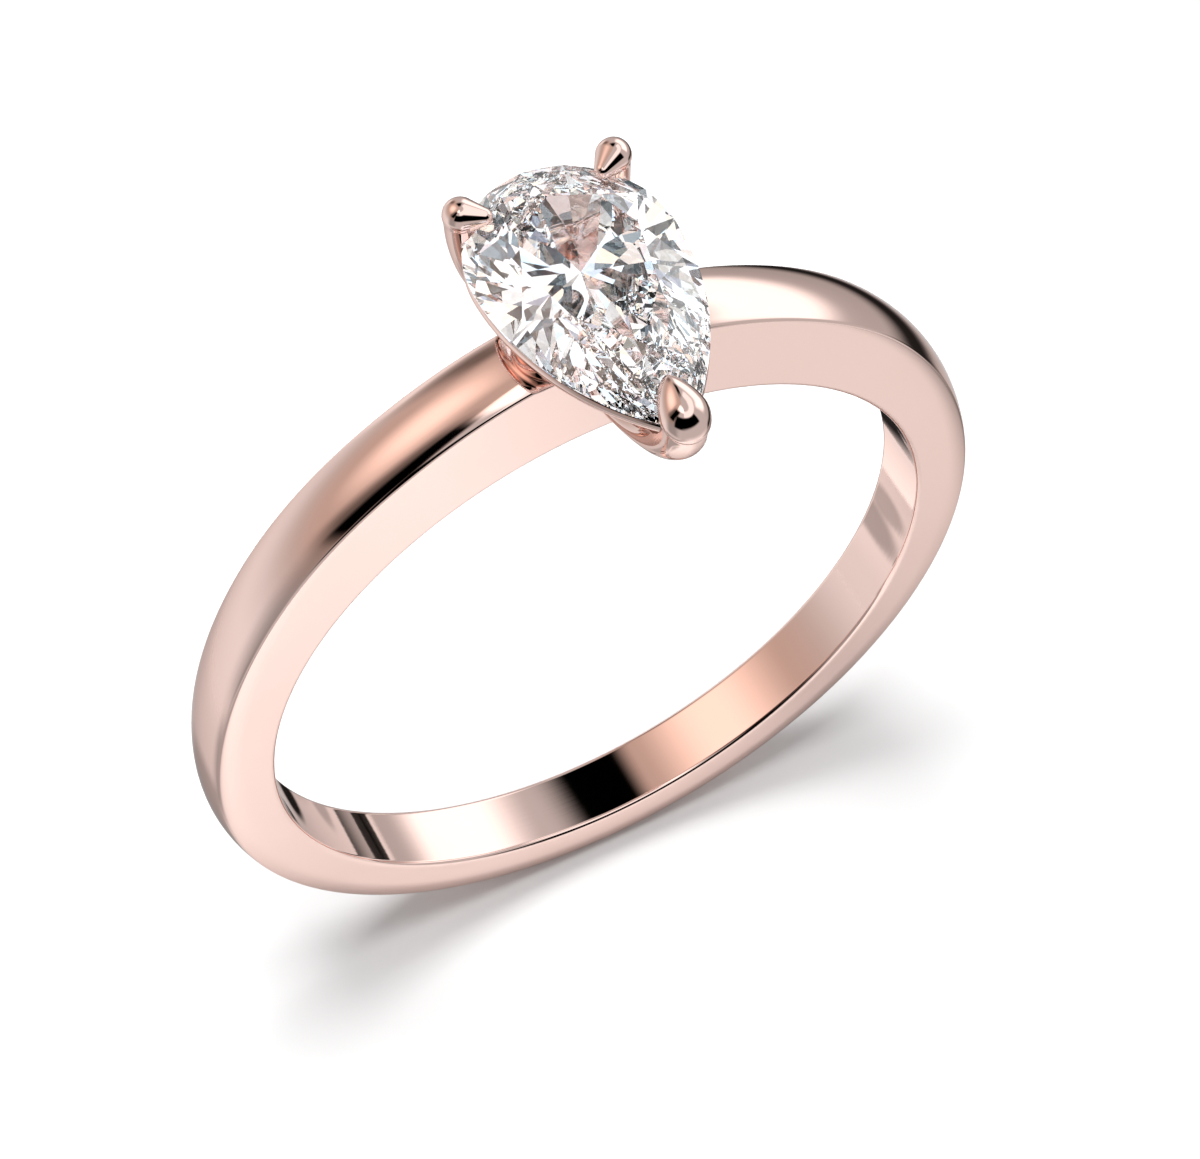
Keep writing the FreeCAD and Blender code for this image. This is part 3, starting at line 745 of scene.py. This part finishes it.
def studio():
    """World whose light depends on its direction and on the kind of ray that meets it."""
    world = bpy.data.worlds.new("Studio")
    bpy.context.scene.world = world
    tree = Tree(world)
    direction = tree.add("ShaderNodeTexCoord").outputs["Generated"]
    x, y, z = tree.add("ShaderNodeSeparateXYZ", {"Vector": direction}).outputs
    azimuth = tree.math("DEGREES", tree.math("ARCTAN2", x, tree.math("MULTIPLY", y, -1.0)))
    elevation = tree.math("DEGREES", tree.math("ARCSINE", z))

    def turned_from(middle):
        return tree.math("WRAP", tree.math("SUBTRACT", azimuth, middle), 180.0, -180.0)

    def above(middle):
        return tree.math("SUBTRACT", elevation, middle)

    def inside(offset, half, soft):
        return tree.fade(tree.math("ABSOLUTE", offset), half - soft, half + soft, 1.0, 0.0)

    def mixed(under, mask, brightness):
        return tree.math("MULTIPLY_ADD", tree.math("SUBTRACT", brightness, under), mask, under)

    light = STUDIO_BASE
    for az, el, half_az, half_el, bright in GLOWS:
        across = tree.math("POWER", tree.math("DIVIDE", turned_from(az), half_az), 2.0)
        up = tree.math("POWER", tree.math("DIVIDE", above(el), half_el), 2.0)
        off = tree.math("SQRT", tree.math("ADD", across, up))
        light = mixed(light, tree.fade(off, *GLOW_FADE), bright)
    for az, el, half_az, half_el, lean, soft, bright in PANELS:
        up = above(el)
        across = turned_from(tree.math("MULTIPLY_ADD", up, lean, az))
        mask = tree.math("MULTIPLY", inside(across, half_az, soft), inside(up, half_el, soft))
        light = mixed(light, mask, bright)

    rays = tree.add("ShaderNodeLightPath").outputs
    behind_stone = tree.math("GREATER_THAN", rays["Transmission Depth"], 0.5)
    off_floor = tree.math("GREATER_THAN", rays["Diffuse Depth"], 0.5)
    light = tree.math("MULTIPLY", light, tree.ramp(behind_stone, 0.0, 1.0, 1.0, BEHIND_STONE))
    light = tree.math("MULTIPLY", light, tree.ramp(off_floor, 0.0, 1.0, 1.0, OFF_FLOOR))
    cells = tree.add("ShaderNodeTexVoronoi", {"Vector": direction, "Scale": GEM_CELLS,
                                              "Randomness": 1.0, "W": GEM_SEED},
                     voronoi_dimensions="4D").outputs["Color"]
    first, second, third = tree.add("ShaderNodeSeparateColor", {"Color": cells}).outputs
    light = mixed(light, rays["Is Diffuse Ray"], FLOOR_LIGHT)
    light = mixed(light, rays["Is Camera Ray"], BACKDROP)
    light = mixed(light, rays["Is Transmission Ray"], tree.fade(first, *GEM_LIGHT))

    warmth = tree.math("MULTIPLY",
                       tree.fade(tree.math("ABSOLUTE", turned_from(WARM_AZIMUTH)), *WARM_WIDTH),
                       tree.fade(elevation, *WARM_RISE))
    hue = tree.colour(tree.ramp(second, 0.0, 1.0, *GEM_RED), tree.ramp(third, 0.0, 1.0, *GEM_GREEN),
                      tree.ramp(second, 0.0, 1.0, *GEM_BLUE))
    tint = tree.mix_colours(rays["Is Transmission Ray"], tree.mix_colours(warmth, WHITE, WARM), hue)
    tint = tree.mix_colours(rays["Is Diffuse Ray"], tint, WHITE)
    background = tree.add("ShaderNodeBackground", {"Color": tint, "Strength": light})
    tree.add("ShaderNodeOutputWorld", {"Surface": background.outputs[0]})
    world.cycles.sampling_method = "MANUAL"
    world.cycles.sample_map_resolution = LIGHT_MAP


def stage_plate(name, height, half_size, material):
    """Square plate of the set, level and centred under the ring."""
    mesh = bpy.data.meshes.new(name)
    corners = [(x * half_size, y * half_size, height)
               for x, y in ((-1, -1), (1, -1), (1, 1), (-1, 1))]
    mesh.from_pydata([[v * MM for v in c] for c in corners], [], [(0, 1, 2, 3)])
    mesh.materials.append(material)
    plate = bpy.data.objects.new(name, mesh)
    bpy.context.scene.collection.objects.link(plate)
    return plate


def make_floor():
    """White floor, and a plate over its part near the ring, painted with the light and shade that the
    polished metal mirrors.
    """
    z = cad_box[0].z / MM
    floor = stage_plate("Floor", z, FLOOR_HALF, floor_material())
    floor.visible_glossy = floor.visible_transmission = False
    near = stage_plate("Floor_near_painted_reflections", z + NEAR_FLOOR_LIFT, NEAR_FLOOR, painted_reflection_floor_material())
    near.visible_camera = near.visible_diffuse = near.visible_shadow = False


def make_lamp():
    """Soft lamp over the ring that points at it and isn't mirrored in it."""
    lamp = bpy.data.lights.new("Overhead", "AREA")
    lamp.shape, lamp.size, lamp.energy = "SQUARE", LAMP_SIZE * MM, LAMP_WATTS
    holder = bpy.data.objects.new("Overhead", lamp)
    holder.location = Vector(LAMP_PLACE) * MM
    holder.rotation_euler = (-holder.location).to_track_quat("-Z", "Y").to_euler()
    bpy.context.scene.collection.objects.link(holder)
    holder.visible_camera = holder.visible_glossy = holder.visible_transmission = False


def make_camera():
    """Camera up, left and in front of the ring, turned a little about its own axis."""
    right, down = Vector(CAMERA_RIGHT), Vector(CAMERA_DOWN)
    forward = right.cross(down)
    lens = bpy.data.cameras.new("Camera")
    lens.sensor_width, lens.lens = SENSOR_WIDTH, FOCAL_LENGTH
    lens.clip_start, lens.clip_end = CLIP_RANGE
    camera = bpy.data.objects.new("Camera", lens)
    turn = Matrix((right, -down, -forward)).transposed().to_4x4()
    camera.matrix_world = Matrix.Translation(Vector(CAMERA_PLACE) * MM) @ turn
    bpy.context.scene.collection.objects.link(camera)
    bpy.context.scene.camera = camera


make_camera()
studio()
make_floor()
make_lamp()

band_gold = gold_material("Band_gold", BAND_ROUGHNESS, BAND_LINES)
head_gold = gold_material("Head_gold", HEAD_ROUGHNESS, HEAD_LINES)

band = make_shank(band_gold)
collet = make_collet(head_gold)
rail = make_rail(head_gold)
claw_right, claw_left = make_claws(head_gold)
v_claw = make_v_claw(head_gold)

for piece, node, finish in ((band, "shank", "band_gold"),
                            (collet, "base_collet", "head_gold"),
                            (rail, "gallery_rail", "head_gold"),
                            (claw_right, "claw_right", "head_gold"),
                            (claw_left, "claw_left", "head_gold"),
                            (v_claw, "v_claw", "head_gold")):
    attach(piece, "root")
    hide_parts(node)

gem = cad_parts["diamond"]
gem.data.materials.clear()
gem.data.materials.append(diamond_material())

scene = bpy.context.scene
scene.view_settings.view_transform = "Standard"
scene.cycles.max_bounces = 24
scene.cycles.transmission_bounces = 20
scene.cycles.glossy_bounces = 24
